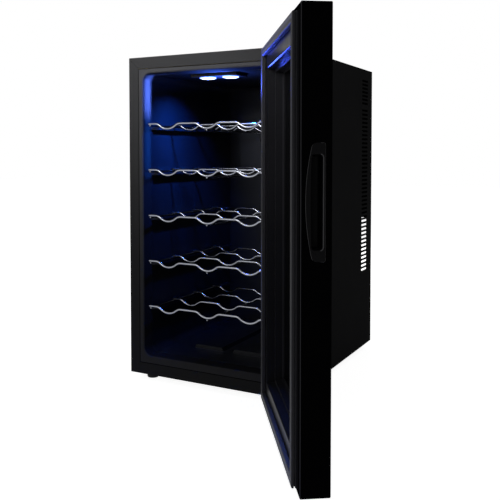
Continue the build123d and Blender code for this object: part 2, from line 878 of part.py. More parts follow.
def handle_face():
    """The insert's outline: straight towards the front of the door, bowed towards its back."""
    with BuildLine() as outline:
        Line((handle_front_y, handle_low), (handle_front_y, handle_high))
        Line((handle_front_y, handle_high), (handle_end_y, handle_high))
        ThreePointArc(
            (handle_end_y, handle_high), (handle_back_y, handle_mid_height), (handle_end_y, handle_low)
        )
        Line((handle_end_y, handle_low), (handle_front_y, handle_low))
        fillet(outline.vertices().sort_by(Axis.X)[:2], radius=handle_straight_corner)
        fillet(outline.vertices().sort_by(Axis.X)[-2:], radius=handle_bow_corner)
    make_face(outline.edges())


with BuildPart() as door_frame:
    with BuildSketch(facing(door_front_y)):
        door_outline(0)
        door_rectangle(0, mode=Mode.SUBTRACT)
    extrude(amount=-door_body)
    with BuildSketch(facing(door_front_y)):
        door_rectangle(front_rebate)
    extrude(amount=-(glass + glass_gap), mode=Mode.SUBTRACT)
    with BuildSketch(facing(door_back_y)):
        door_rectangle(seat_lap)
    extrude(amount=door_back_y - pane_seat_y, mode=Mode.SUBTRACT)
    chamfer(door_frame.faces().sort_by(Axis.Y)[0].outer_wire().edges(), length=door_edge)
    chamfer(door_frame.faces().sort_by(Axis.Y)[-1].outer_wire().edges(), length=door_edge)
    with BuildSketch(facing(door_front_y + door_wall)):
        door_outline(door_wall)
        door_rectangle(inner_wall, mode=Mode.SUBTRACT)
    extrude(amount=-(door_body - 2 * door_wall), mode=Mode.SUBTRACT)
    with BuildSketch(facing(door_back_y)):
        door_outline(door_lip)
        door_rectangle(inner_wall, mode=Mode.SUBTRACT)
    extrude(amount=door_wall, mode=Mode.SUBTRACT)
    for boss_z in (door_bottom, door_top - boss_height):
        with BuildSketch(Plane.XY.offset(boss_z)):
            with Locations((hinge_x, hinge_y)):
                Rectangle(boss_width, boss_width)
        extrude(amount=boss_height)
    for bush_z in (door_bottom, door_top - bush_height):
        with BuildSketch(Plane.XY.offset(bush_z)):
            with Locations((hinge_x, hinge_y)):
                Rectangle(bush_width + 2 * pin_seat, bush_width + 2 * pin_seat)
        extrude(amount=bush_height, mode=Mode.SUBTRACT)
    with BuildSketch(free_edge):
        handle_face()
        offset(amount=fit_clearance, mode=Mode.REPLACE)
    extrude(amount=door_wall, mode=Mode.SUBTRACT)

with BuildPart() as handle_insert:
    with BuildSketch(free_edge.offset(-handle_proud)):
        handle_face()
    extrude(amount=handle_proud + door_wall)
    with BuildSketch(free_edge.offset(door_wall)):
        handle_face()
        offset(amount=handle_flange, mode=Mode.REPLACE)
    extrude(amount=handle_flange)
    with BuildSketch(free_edge):
        with Locations((pocket_y, handle_mid_height)):
            Rectangle(pocket_width + 2 * pocket_wall, pocket_length + 2 * pocket_wall)
    extrude(amount=pocket_depth + pocket_wall)
    with BuildSketch(free_edge.offset(-handle_proud)):
        with Locations((pocket_y, handle_mid_height)):
            RectangleRounded(pocket_width, pocket_length, pocket_corner)
    extrude(amount=handle_proud + pocket_depth, mode=Mode.SUBTRACT)

with BuildPart() as front_glass:
    with BuildSketch(facing(door_front_y + glass_gap)):
        door_rectangle(front_rebate - glass_gap)
    extrude(amount=-glass)

with BuildPart() as inner_glass:
    with BuildSketch(facing(pane_seat_y)):
        door_rectangle(jamb_outer)
    extrude(amount=-glass)

# Inner frame: closes the back of the door, lines its opening in two steps and holds the inner glass
liner_back_y = door_back_y + liner_plate
step_y = door_back_y - jamb_step


def jamb_ring(outer, inner, near_y, far_y):
    """A ring about the door's opening between two laps, from near_y towards the front to far_y."""
    with BuildSketch(facing(near_y)) as ring:
        door_rectangle(outer)
        door_rectangle(inner, mode=Mode.SUBTRACT)
    extrude(ring.sketch, amount=near_y - far_y)


with BuildPart() as door_liner:
    with BuildSketch(facing(door_back_y)):
        door_outline(liner_inset)
        door_rectangle(jamb_lap, mode=Mode.SUBTRACT)
    extrude(amount=-liner_plate)
    jamb_ring(jamb_outer, jamb_lap, door_back_y, step_y - jamb_wall)
    jamb_ring(jamb_outer, 0, step_y, step_y - jamb_wall)
    jamb_ring(jamb_wall, 0, step_y, pane_back_y)
    jamb_ring(jamb_wall, -glazing_bead, pane_back_y + glazing_bead, pane_back_y)
    with BuildSketch(facing(pane_back_y)):
        door_rectangle(-glazing_bead)
    with BuildSketch(facing(pane_back_y + glazing_bead)):
        door_rectangle(0)
    loft(mode=Mode.SUBTRACT)
    back_face = door_liner.faces().sort_by(Axis.Y)[-1]
    chamfer(back_face.edges(), length=liner_chamfer)

# Gasket: soft ring on the inner frame, grooved along its outer side
gasket_height = door_gap - liner_plate - gasket_clearance
gasket_groove_y = liner_back_y + gasket_height / 2 - gasket_groove / 2

with BuildPart() as door_gasket:
    with BuildSketch(facing(liner_back_y)):
        door_outline(gasket_inset)
        door_outline(gasket_inset + gasket_width, mode=Mode.SUBTRACT)
    extrude(amount=-gasket_height)
    with BuildSketch(facing(gasket_groove_y)):
        door_outline(gasket_inset)
        door_outline(gasket_inset + gasket_groove, mode=Mode.SUBTRACT)
    extrude(amount=-gasket_groove, mode=Mode.SUBTRACT)
    sealing_face = door_gasket.faces().sort_by(Axis.Y)[-1]
    chamfer(sealing_face.outer_wire().edges(), length=gasket_edge)

# Door bushes: square flanged plugs in the door's top and bottom, bored for the hinge pins
with BuildPart() as door_bushes:
    for end_z, outward in ((door_bottom, -1), (door_top, 1)):
        with BuildSketch(Plane.XY.offset(end_z)):
            with Locations((hinge_x, hinge_y)):
                Rectangle(bush_width, bush_width)
                Circle(pin_radius + pin_clearance, mode=Mode.SUBTRACT)
        extrude(amount=-outward * bush_height)
        with BuildSketch(Plane.XY.offset(end_z)):
            with Locations((hinge_x, hinge_y)):
                Rectangle(bush_collar_width, bush_collar_width)
                Circle(pin_radius + pin_clearance, mode=Mode.SUBTRACT)
        extrude(amount=outward * bush_collar)

# Every piece by the name of its node, those of the door turned open about the hinge
cabinet_pieces = {
    "left_side_panel": left_side_panel,
    "right_side_panel": right_side_panel,
    "top_panel": top_panel.part,
    "base_pan": base_pan.part,
    "back_plate": back_plate.part,
    "front_collar": front_collar.part,
    "inner_liner": inner_liner.part,
    "foam_insulation": foam_insulation.part,
    "lamp_housing": lamp_housing.part,
    "lamp_lenses": lamp_lenses.part,
    "lamp_board": lamp_board.part,
    "cold_sink": cold_sink,
    "hot_sink": hot_sink,
    "spacer_block": spacer_block.part,
    "thermoelectric_module": thermoelectric_module.part,
    "inner_fan_frame": inner_fan_frame,
    "inner_fan_rotor": inner_fan_rotor,
    "rear_fan_frame": rear_fan_frame,
    "rear_fan_rotor": rear_fan_rotor,
    "air_cover": air_cover.part,
    "temperature_probe": temperature_probe.part,
    "rear_cover": rear_cover.part,
    "power_box": power_box.part,
    "power_board": power_board.part,
    "power_box_lid": power_box_lid.part,
    "mains_inlet": mains_inlet.part,
    "cable_duct": cable_duct.part,
    "upper_hinge_bracket": upper_hinge_bracket.part,
    "lower_hinge_bracket": lower_hinge_bracket.part,
    "hinge_pins": hinge_pins.part,
    "feet": feet.part,
    **shelves,
}
door_pieces = {
    "door_frame": door_frame.part,
    "door_liner": door_liner.part,
    "door_gasket": door_gasket.part,
    "front_glass": front_glass.part,
    "inner_glass": inner_glass.part,
    "handle_insert": handle_insert.part,
    "door_bushes": door_bushes.part,
}
hinge_axis = Axis((hinge_x, hinge_y, 0), (0, 0, 1))
opened_pieces = {name: piece.rotate(hinge_axis, door_open_angle) for name, piece in door_pieces.items()}
to_origin = Location((front_foot_x, -front_foot_y, foot_height))

os.makedirs("parts", exist_ok=True)
for name, piece in {**cabinet_pieces, **opened_pieces}.items():
    placed = piece.moved(to_origin)
    placed.label = name
    export_step(placed, f"parts/{name}.step")
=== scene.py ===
"""Free-standing wine cooler with its glazed door open: the finish of every piece, set on its construction.

Metres, +Z up, the front towards negative Y, the origin under the front left foot.
"""

import json
from math import atan2, cos, pi, radians, sin

import bmesh
import bpy
import numpy as np
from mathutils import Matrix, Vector


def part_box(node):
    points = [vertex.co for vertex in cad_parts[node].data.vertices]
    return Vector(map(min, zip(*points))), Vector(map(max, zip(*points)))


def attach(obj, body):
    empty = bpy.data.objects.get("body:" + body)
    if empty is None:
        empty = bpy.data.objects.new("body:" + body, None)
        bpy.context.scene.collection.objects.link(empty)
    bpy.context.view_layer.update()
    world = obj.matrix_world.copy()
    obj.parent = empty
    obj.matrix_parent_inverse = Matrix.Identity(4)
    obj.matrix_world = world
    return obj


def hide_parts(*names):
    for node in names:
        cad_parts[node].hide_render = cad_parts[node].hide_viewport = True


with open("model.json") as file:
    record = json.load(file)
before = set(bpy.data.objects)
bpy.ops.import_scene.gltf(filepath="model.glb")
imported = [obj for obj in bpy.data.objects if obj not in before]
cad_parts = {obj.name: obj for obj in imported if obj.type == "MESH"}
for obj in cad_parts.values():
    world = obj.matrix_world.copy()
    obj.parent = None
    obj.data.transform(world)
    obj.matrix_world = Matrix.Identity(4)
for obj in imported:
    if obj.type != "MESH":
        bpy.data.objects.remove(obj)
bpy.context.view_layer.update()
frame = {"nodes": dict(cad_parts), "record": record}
node_objects = frame["nodes"]

# Cabinet shell: folded steel sheet with a baked satin black paint.
# The panels are bent, slotted and screwed together round the foam. The paint has a fine orange peel.


class Signal:
    """A socket in a material. Arithmetic on it adds Math nodes, and make() adds any other node."""

    def __init__(self, tree, socket=None):
        self.tree = tree
        self.socket = socket

    def make(self, kind, settings=None, inputs=None, output=0):
        """A node of this kind: its settings first, then a value or a link for each input."""
        node = self.tree.nodes.new(kind)
        for name, value in (settings or {}).items():
            if name == "stops":
                ramp = node.color_ramp.elements
                ramp[0].position, ramp[0].color = value[0]
                ramp[1].position, ramp[1].color = value[-1]
                for place, colour in value[1:-1]:
                    ramp.new(place).color = colour
            else:
                setattr(node, name, value)
        for name, value in (inputs or {}).items():
            if isinstance(value, Signal):
                self.tree.links.new(value.socket, node.inputs[name])
            else:
                node.inputs[name].default_value = value
        return Signal(self.tree, node.outputs[output])

    def math(self, operation, first, second=0.0):
        """A Math node on two values."""
        return self.make("ShaderNodeMath", {"operation": operation}, {0: first, 1: second})

    def __add__(self, other):
        return self.math("ADD", self, other)

    def __sub__(self, other):
        return self.math("SUBTRACT", self, other)

    def __rsub__(self, other):
        return self.math("SUBTRACT", other, self)

    def __mul__(self, other):
        return self.math("MULTIPLY", self, other)

    def __gt__(self, other):
        return self.math("GREATER_THAN", self, other)

    def __lt__(self, other):
        return self.math("LESS_THAN", self, other)

    def span(self, low, high):
        """The number low where this value is 0 and high where it is 1."""
        return self * (high - low) + low

    def tint(self, low, high):
        """The colour low where this value is 0 and high where it is 1."""
        return self.blend(self, low, high)

    def blend(self, share, first, second):
        """The colour first where share is 0 and second where it is 1."""
        return self.make("ShaderNodeMix", {"data_type": "RGBA"}, {0: share, 6: first, 7: second}, 2)

    def place(self):
        """The point of the surface, in the piece's own metres."""
        return self.make("ShaderNodeTexCoord", output="Object")

    def axis(self, letter):
        """One of the three numbers of that point: X, Y or Z."""
        return self.make("ShaderNodeSeparateXYZ", inputs={"Vector": self.place()}, output=letter)

    def counted(self, step):
        """That point, counted in steps of this length."""
        return self.make("ShaderNodeVectorMath", {"operation": "SCALE"}, {0: self.place(), "Scale": 1 / step})

    def noise(self, size, stretch=(1, 1, 1), detail=3):
        """Soft noise from 0 to 1 with spots of this size, drawn out by stretch along each axis."""
        scale = [1 / (size * s) for s in stretch]
        spot = self.make("ShaderNodeMapping", inputs={"Vector": self.place(), "Scale": scale})
        return self.make("ShaderNodeTexNoise", inputs={"Vector": spot, "Scale": 1.0, "Detail": detail})

    def relief(self, depth):
        """A normal bent by this height map, whose full height is depth."""
        return self.make("ShaderNodeBump", inputs={"Height": self, "Distance": depth, "Strength": 1.0})


def finish(name, linked, **constants):
    """A material of one Principled shader: constants on its sockets, and signals linked by linked(start)."""
    material = bpy.data.materials.new(name)
    material.use_nodes = True
    tree = material.node_tree
    shader = tree.nodes["Principled BSDF"]
    for socket, value in constants.items():
        shader.inputs[socket.replace("_", " ")].default_value = value
    for socket, signal in linked(Signal(tree)).items():
        tree.links.new(signal.socket, shader.inputs[socket])
    return material


def grained(dark, light, patch, gloss, grain, depth, wear_share=0.23):
    """The signals of a moulded or painted skin.

    The colour drifts from dark to light over patches, and the roughness between the two values of gloss
    over spots that measure wear_share of a patch. Small bumps of the size grain have the height depth.
    """
    def signals(start):
        cloud = start.noise(patch, detail=4)
        wear = start.noise(patch * wear_share, detail=2)
        return {
            "Base Color": cloud.tint((*dark, 1), (*light, 1)),
            "Roughness": wear.span(*gloss),
            "Normal": start.noise(grain, detail=1).relief(depth),
        }

    return signals


def dress(material, *names):
    """Gives the material to CAD nodes as they are."""
    for name in names:
        node_objects[name].data.materials.clear()
        node_objects[name].data.materials.append(material)


cabinet_paint = finish(
    "cabinet_paint",
    grained((0.024, 0.024, 0.025), (0.031, 0.031, 0.032), 0.09, (0.42, 0.56), 0.0011, 0.00003),
    Specular_IOR_Level=0.0,
)
dress(cabinet_paint, "left_side_panel", "right_side_panel", "top_panel")
dress(cabinet_paint, "base_pan", "back_plate", "rear_cover")

# Front collar: charcoal frame about the opening, clipped over the liner, with a satin face and a mouth
# darker by painted shade. Painted shade, nearly black, lines the seam with the steel flange that it lies in.
collar_low, collar_high = np.array(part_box("front_collar"))
# Width of the band of painted shade along the seam.
seam_shade_width = 0.0013
collar_face_depth = 0.0016


def collar_signals(start):
    """Painted shade: nearly black within a hair of the outer edge, at the seam, and darker in the mouth."""
    x, y, z = map(start.axis, "XYZ")
    from_sides = start.math("MINIMUM", x - float(collar_low[0]), float(collar_high[0]) - x)
    from_ends = start.math("MINIMUM", z - float(collar_low[2]), float(collar_high[2]) - z)
    face = start.math("MINIMUM", from_sides, from_ends) > seam_shade_width
    mouth = y > float(collar_low[1]) + collar_face_depth
    cloud = start.noise(0.05, detail=4)
    grain = start.noise(0.0007, detail=1)
    skin = cloud.tint((0.036, 0.036, 0.039, 1), (0.046, 0.046, 0.049, 1))
    # Painted shade: the mouth is darker than the face, and the seam band is nearly black.
    inside = start.blend(mouth, skin, (0.016, 0.016, 0.018, 1))
    return {
        "Base Color": start.blend(face, (0.003, 0.003, 0.003, 1), inside),
        "Roughness": cloud.span(0.38, 0.46),
        "Normal": grain.relief(0.00002),
    }


collar_plastic = finish("collar_plastic", collar_signals, Specular_IOR_Level=0.0)
dress(collar_plastic, "front_collar")

# Liner and air cover: black polystyrene, vacuum-formed over a tool, so it is glossy with a slow ripple.
# The cover over the fan is the same sheet, pressed on over the cold sink.
liner_plastic = finish(
    "liner_plastic",
    grained((0.008, 0.009, 0.012), (0.013, 0.014, 0.018), 0.06, (0.26, 0.36), 0.004, 0.00004),
    Specular_IOR_Level=0.16,
)
dress(liner_plastic, "inner_liner", "air_cover")

# Foam: polyurethane blown between the liner and the steel, cream, full of small closed cells.
# The closed cabinet hides it.
foam_cell = 0.0016


def foam_signals(start):
    """Cells from a cell pattern: the colour darkens, and the surface drops, at each cell's rim."""
    cell = start.make("ShaderNodeTexVoronoi", inputs={"Vector": start.counted(foam_cell), "Scale": 1.0})
    age = start.noise(0.05, detail=5)
    return {
        "Base Color": (cell * 0.4 + age * 0.6).tint((0.86, 0.75, 0.45, 1), (0.66, 0.52, 0.25, 1)),
        "Roughness": cell.span(0.75, 0.95),
        "Normal": (1 - cell).relief(0.0003),
    }


foam = finish("foam", foam_signals, Specular_IOR_Level=0.2)
dress(foam, "foam_insulation")

# Lamp: a shallow black housing under the ceiling with two domed lenses.
# Each lens is clear polycarbonate with a frosted inside, lit blue-white by the board above it.
lamp_plastic = finish(
    "lamp_plastic",
    grained((0.004, 0.004, 0.006), (0.007, 0.007, 0.010), 0.03, (0.35, 0.5), 0.0006, 0.00003),
    Specular_IOR_Level=0.05,
)
dress(lamp_plastic, "lamp_housing")


def add_piece(name, grids, material, crease=32):
    """A mesh of quads over grids of points, each (rows, columns, 3), merged at its seams and poles."""
    points, quads, count = [], [], 0
    for grid in grids:
        rows, columns = grid.shape[:2]
        index = np.arange(rows * columns).reshape(rows, columns) + count
        corners = (index[:-1, :-1], index[1:, :-1], index[1:, 1:], index[:-1, 1:])
        quads.append(np.stack(corners, axis=-1).reshape(-1, 4))
        points.append(grid.reshape(-1, 3))
        count += rows * columns
    mesh = bpy.data.meshes.new(name)
    mesh.from_pydata(np.concatenate(points).tolist(), [], np.concatenate(quads).tolist())
    work = bmesh.new()
    work.from_mesh(mesh)
    bmesh.ops.remove_doubles(work, verts=work.verts, dist=2e-6)
    bmesh.ops.dissolve_degenerate(work, edges=work.edges, dist=1e-6)
    bmesh.ops.recalc_face_normals(work, faces=work.faces)
    work.to_mesh(mesh)
    work.free()
    mesh.materials.append(material)
    mesh.shade_smooth()
    mesh.set_sharp_from_angle(angle=radians(crease))
    piece = bpy.data.objects.new(name, mesh)
    bpy.context.scene.collection.objects.link(piece)
    return piece


def set_on(piece, body, slot, *replaced):
    """Lets the piece ride on a body and hides the CAD nodes that it stands for. The slot is not used."""
    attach(piece, body)
    if replaced:
        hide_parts(*replaced)


def turned(profile, centre, sides=48):
    """A profile of (radius, height) points turned about the upright through centre."""
    turn = np.linspace(0, 2 * pi, sides + 1)
    ring = np.stack([np.cos(turn), np.sin(turn), np.zeros_like(turn)], axis=1)
    radius, height = profile[:, 0, None, None], profile[:, 1, None, None]
    return np.array(centre) + radius * ring + height * (0, 0, 1)


def arc(centre, radius, start, end, count=8):
    """Points (across, up) on an arc about centre, from one angle in degrees to another."""
    turn = np.radians(np.linspace(start, end, count))
    return np.stack([centre[0] + radius * np.cos(turn), centre[1] + radius * np.sin(turn)], axis=1)


lens_low, lens_high = np.array(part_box("lamp_lenses"))
lens_radius = 0.016
lens_rim_width = 0.002
lens_rim_radius = lens_radius + lens_rim_width
lens_rim_height = 0.0015
lens_depth = 0.005
lens_dome = 0.0022
lens_roundness = 0.96
lens_spacing = lens_high[0] - lens_low[0] - 2 * lens_rim_radius
lens_middle = (lens_low + lens_high) / 2
lens_seat = lens_low[2] + lens_depth
lens_places = [lens_middle[0] + side * lens_spacing / 2 for side in (-1, 1)]
lens_ring_turns = 40
lens_ring_share = 0.04


def lens_profile():
    """From the pole of the dome out to the step under the rim, over the rim and back to the middle."""
    out = np.linspace(0, 1, 14)
    rise = lens_dome * (1 - np.sqrt(1 - lens_roundness * out**2))
    dome = np.stack([out * lens_radius, lens_low[2] - lens_seat + rise], axis=1)
    rim = [(lens_radius, 0), (lens_rim_radius, 0), (lens_rim_radius, lens_rim_height), (0, lens_rim_height)]
    return np.concatenate([dome, rim])


def lens_signals(start):
    """White in the middle of each lens, blue towards its rim, with faint rings of the frosted optic."""
    side = start.math("ABSOLUTE", start.axis("X") - float(lens_middle[0])) - float(lens_spacing / 2)
    ahead = start.axis("Y") - float(lens_middle[1])
    reach = start.math("SQRT", side * side + ahead * ahead) * float(1 / lens_radius)
    rings = start.math("SINE", reach * lens_ring_turns) * lens_ring_share
    stops = [(0.0, (1, 1, 1, 1)), (0.72, (0.92, 0.95, 1, 1)), (1.0, (0.16, 0.25, 1, 1))]
    return {
        "Emission Color": start.make("ShaderNodeValToRGB", {"stops": stops}, {"Fac": reach + rings}),
        "Base Color": (reach + rings).tint((0.9, 0.93, 1, 1), (0.5, 0.6, 1, 1)),
        "Roughness": (rings * rings * lens_ring_share**-2).span(0.08, 0.144),
    }


lens_plastic = finish("lens_plastic", lens_signals, Emission_Strength=3.0, Specular_IOR_Level=0.4)
lenses = add_piece(
    "lit_lenses",
    [turned(lens_profile(), (x, lens_middle[1], lens_seat)) for x in lens_places],
    lens_plastic,
)
set_on(lenses, "cabinet", "lens_plastic", "lamp_lenses")

# Circuit boards: green solder mask over copper tracks, with bare tinned pads.
# The lamp board carries the light-emitting diodes, the power board the supply and the control.
board_track = 0.0024
board_pad = 0.2


def board_signals(start):
    """Straight tracks from a brick pattern stand under the mask, and round pads from a cell pattern shine."""
    spot = start.counted(board_track)
    upright = start.make("ShaderNodeMapping", inputs={"Vector": spot, "Rotation": (radians(90), 0, 0)})
    colours = {"Color1": (1, 1, 1, 1), "Color2": (1, 1, 1, 1), "Mortar": (0, 0, 0, 1)}
    sizes = {"Vector": upright, "Scale": 1.0, "Mortar Size": 0.09}
    track = 1 - start.make("ShaderNodeTexBrick", inputs={**sizes, **colours})
    pad = start.make("ShaderNodeTexVoronoi", inputs={"Vector": spot, "Scale": 0.8, "Randomness": 0.4})
    bare = 1 - (pad > board_pad)
    mask = track.tint((0.012, 0.10, 0.035, 1), (0.035, 0.19, 0.06, 1))
    return {
        "Base Color": start.blend(bare, mask, (0.7, 0.7, 0.68, 1)),
        "Metallic": bare * 0.9,
        "Roughness": bare.span(0.38, 0.28),
        "Normal": (track + bare).relief(0.00004),
    }


circuit_board = finish("circuit_board", board_signals)
dress(circuit_board, "lamp_board", "power_board")

# Heat sinks and spacer block: extruded aluminium, left bare, with the fine lines of the die along the fins.
# One sink cools the air in the cabinet, and the other gives the heat off behind it.
def extruded_signals(start):
    """Noise drawn out along the height makes the die lines; a slow cloud dulls the metal here and there."""
    lines = start.noise(0.0006, stretch=(1, 1, 120), detail=2)
    dull = start.noise(0.03, detail=4)
    return {
        "Base Color": dull.tint((0.70, 0.71, 0.73, 1), (0.80, 0.81, 0.82, 1)),
        "Roughness": lines.span(0.18, 0.40) + dull.span(0, 0.15),
        "Normal": lines.relief(0.00002),
    }


sink_aluminium = finish("sink_aluminium", extruded_signals, Metallic=1.0)
dress(sink_aluminium, "cold_sink", "hot_sink", "spacer_block")

# Thermoelectric module: two white ceramic plates with rows of dark pellets soldered between them.
# It pumps the heat from the cold sink to the hot one.
module_low, module_high = np.array(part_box("thermoelectric_module"))
pellet_row = 0.002
pellet_width = 0.0025


def module_signals(start):
    """Only the middle half of the thickness shows pellets, dark blocks in a regular row."""
    middle = float(module_low[1] + module_high[1]) / 2
    between = 1 - (start.math("ABSOLUTE", start.axis("Y") - middle) > pellet_row / 2)
    squares = {"Vector": start.place(), "Scale": 1 / pellet_width}
    dark = between * start.make("ShaderNodeTexChecker", inputs=squares, output="Fac").span(0.4, 1.0)
    speck = start.noise(0.002)
    return {
        "Base Color": dark.tint((0.86, 0.86, 0.83, 1), (0.05, 0.05, 0.055, 1)),
        "Roughness": speck.span(0.35, 0.55),
        "Normal": speck.relief(0.00002),
    }


module_ceramic = finish("module_ceramic", module_signals)
dress(module_ceramic, "thermoelectric_module")

# Fans: frames and rotors moulded in black glass-filled nylon, dull, with pale fibres at the skin.
# One stirs the air in the cabinet, and the other blows through the hot sink.
fan_plastic = finish(
    "fan_plastic",
    grained((0.014, 0.014, 0.015), (0.030, 0.030, 0.031), 0.008, (0.45, 0.62), 0.0005, 0.00004),
    Specular_IOR_Level=0.25,
)
dress(fan_plastic, "inner_fan_frame", "inner_fan_rotor", "rear_fan_frame", "rear_fan_rotor")

# Power box, its lid, the mains inlet and the cable duct: flame-proof plastic with an eroded grain.
# They sit low on the back plate, in the open space under the rear cover.
box_plastic = finish(
    "box_plastic",
    grained((0.040, 0.040, 0.043), (0.060, 0.060, 0.064), 0.02, (0.5, 0.66), 0.0007, 0.00006),
    Specular_IOR_Level=0.25,
)
dress(box_plastic, "power_box", "power_box_lid", "mains_inlet", "cable_duct")

# Hinge: straps of painted steel plate, pins of zinc-plated steel, bushes of white acetal in the door.
# The temperature probe has the same plated skin as the pins.
dress(cabinet_paint, "upper_hinge_bracket", "lower_hinge_bracket")


def plated_signals(start):
    """A cloudy zinc skin over fine turning marks across the length."""
    cloud = start.noise(0.004, detail=4)
    marks = start.noise(0.0002, stretch=(30, 30, 1), detail=1)
    return {
        "Base Color": cloud.tint((0.50, 0.50, 0.52, 1), (0.66, 0.66, 0.68, 1)),
        "Roughness": cloud.span(0.2, 0.4) + marks.span(0, 0.15),
        "Normal": marks.relief(0.00001),
    }


screw_steel = finish("screw_steel", plated_signals, Metallic=1.0)
dress(screw_steel, "hinge_pins", "temperature_probe")
bush_plastic = finish(
    "bush_plastic",
    grained((0.74, 0.74, 0.71), (0.82, 0.82, 0.79), 0.01, (0.35, 0.45), 0.0005, 0.00002),
)
dress(bush_plastic, "door_bushes")

# Screws: pan heads with a cross recess hold the rear cover, the rear fan and the box lid, and flat heads
# hold the hinge straps. All are of the plated steel of the pins.
screw_head_radius = 0.0034
head_roundness = 0.97
head_sink = 0.0002
pan_rise = 0.0014
flat_rise = 0.0004
recess_arm, recess_arm_slope = 0.17, 0.05
recess_reach, recess_end_slope = 0.62, 0.08
recess_depth = 0.0011


def screw_heads(places, out, across, rise):
    """Domed discs with a cross pressed in: the height falls with the radius, and drops inside the cross."""
    out, across = np.array(out, float), np.array(across, float)
    up = np.cross(out, across)
    reach, turn = np.meshgrid(np.linspace(0, 1, 13), np.linspace(0, 2 * pi, 33), indexing="ij")
    right, over = reach * np.cos(turn), reach * np.sin(turn)
    arm = np.minimum(np.abs(right), np.abs(over))
    cross = np.clip((recess_arm - arm) / recess_arm_slope, 0, 1)
    cross *= np.clip((recess_reach - reach) / recess_end_slope, 0, 1)
    height = rise * np.sqrt(np.clip(1 - head_roundness * reach**2, 0, 1)) - recess_depth * cross
    height[-1] = -head_sink
    head = screw_head_radius * (right[..., None] * across + over[..., None] * up) + height[..., None] * out
    return [head + np.array(place) for place in places]


def screw_rows(low, high, face, from_sides, from_below, from_above, count=2):
    """Places on the plane y = face, in a row of this count up either side of a box."""
    return [
        (x, face, z)
        for x in (low[0] + from_sides, high[0] - from_sides)
        for z in np.linspace(low[2] + from_below, high[2] - from_above, count)
    ]


cover_low, cover_high = np.array(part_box("rear_cover"))
fan_low, fan_high = np.array(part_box("rear_fan_frame"))
lid_low, lid_high = np.array(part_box("power_box_lid"))
cover_insets = (0.0045, 0.012, 0.014)
fan_insets = (0.0075,) * 3
lid_insets = (0.007,) * 3
cover_places = screw_rows(cover_low, cover_high, cover_high[1], *cover_insets, count=3)
fan_places = screw_rows(fan_low, fan_high, cover_high[1], *fan_insets)
lid_places = screw_rows(lid_low, lid_high, lid_high[1], *lid_insets)
rear_heads = screw_heads(cover_places + fan_places + lid_places, (0, 1, 0), (-1, 0, 0), pan_rise)
rear_screws = add_piece("rear_screws", rear_heads, screw_steel)
set_on(rear_screws, "cabinet", "screw_steel")
strap_low, strap_high = np.array(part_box("lower_hinge_bracket"))
strap_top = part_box("upper_hinge_bracket")[1][2]
strap_x = (strap_low[0] + strap_high[0]) / 2
strap_rows = [strap_high[1] - from_back for from_back in (0.010, 0.036)]
strap_heads = []
for z, out in ((strap_top, 1), (strap_low[2], -1)):
    strap_heads += screw_heads([(strap_x, y, z) for y in strap_rows], (0, 0, out), (1, 0, 0), flat_rise)
hinge_screws = add_piece("hinge_screws", strap_heads, screw_steel)
set_on(hinge_screws, "cabinet", "screw_steel")

# Feet: moulded rubber pads under the base pan, with a rounded lower edge and a shallow hollow below.
# Each stands at one of the record's mounts.
foot_rubber = finish(
    "foot_rubber",
    grained((0.012, 0.012, 0.012), (0.028, 0.028, 0.028), 0.006, (0.7, 0.85), 0.0004, 0.00005),
    Specular_IOR_Level=0.2,
)
foot_low, foot_high = np.array(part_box("feet"))
foot_radius = 0.012
foot_round = 0.003
hollow_radius = 0.006
hollow_depth = 0.0008
lip_radius = 0.0085
lip_round = 0.0010
foot_height = foot_high[2] - foot_low[2]
foot_places = [mount["pos_m"] for mount in frame["record"]["mounts"]]
foot_profile = np.concatenate([
    [(0, hollow_depth), (hollow_radius, hollow_depth)],
    arc((lip_radius, hollow_depth - lip_round), lip_round, 125, 90, 3),
    arc((foot_radius - foot_round, foot_round), foot_round, -90, 0),
    [(foot_radius, foot_height), (0, foot_height)],
])
feet = add_piece("rubber_feet", [turned(foot_profile, place) for place in foot_places], foot_rubber)
set_on(feet, "cabinet", "foot_rubber", "feet")

# Shelves: bright chromed steel wire. Four waves cross the cabinet and are spot-welded on three straight
# rails, the outer two on the ledges and one under the middle valley.
def chrome_signals(start):
    """Nearly a mirror, with faint drawing lines and a cloud of duller plating."""
    cloud = start.noise(0.012, detail=3)
    lines = start.noise(0.0003, stretch=(40, 40, 1), detail=1)
    return {
        "Base Color": cloud.tint((0.17, 0.175, 0.195, 1), (0.25, 0.26, 0.29, 1)),
        "Roughness": cloud.span(0.10, 0.20) + lines.span(0, 0.06),
        "Normal": lines.relief(0.000004),
    }


shelf_chrome = finish("shelf_chrome", chrome_signals, Metallic=1.0)
wire_radius = 0.002
valley_pitch = 0.0895
valley_half_width = 0.029
valley_arc = 0.0295
valley_depth = 0.010


def wave_height(x):
    """Height of the wave over its valleys: an arc in each valley, a counter arc to the crest, then level."""
    away = np.abs(x - valley_pitch * np.clip(np.round(x / valley_pitch), -1, 1))
    bend = 2 * atan2(valley_depth, valley_half_width)
    turn_point = valley_arc * sin(bend)
    crest_arc = valley_half_width / sin(bend) - valley_arc
    low = valley_arc - np.sqrt(valley_arc**2 - np.minimum(away, turn_point) ** 2)
    near = np.clip(valley_half_width - away, 0, valley_half_width - turn_point)
    high = valley_depth - crest_arc + np.sqrt(crest_arc**2 - near**2)
    return np.where(away < turn_point, low, high)


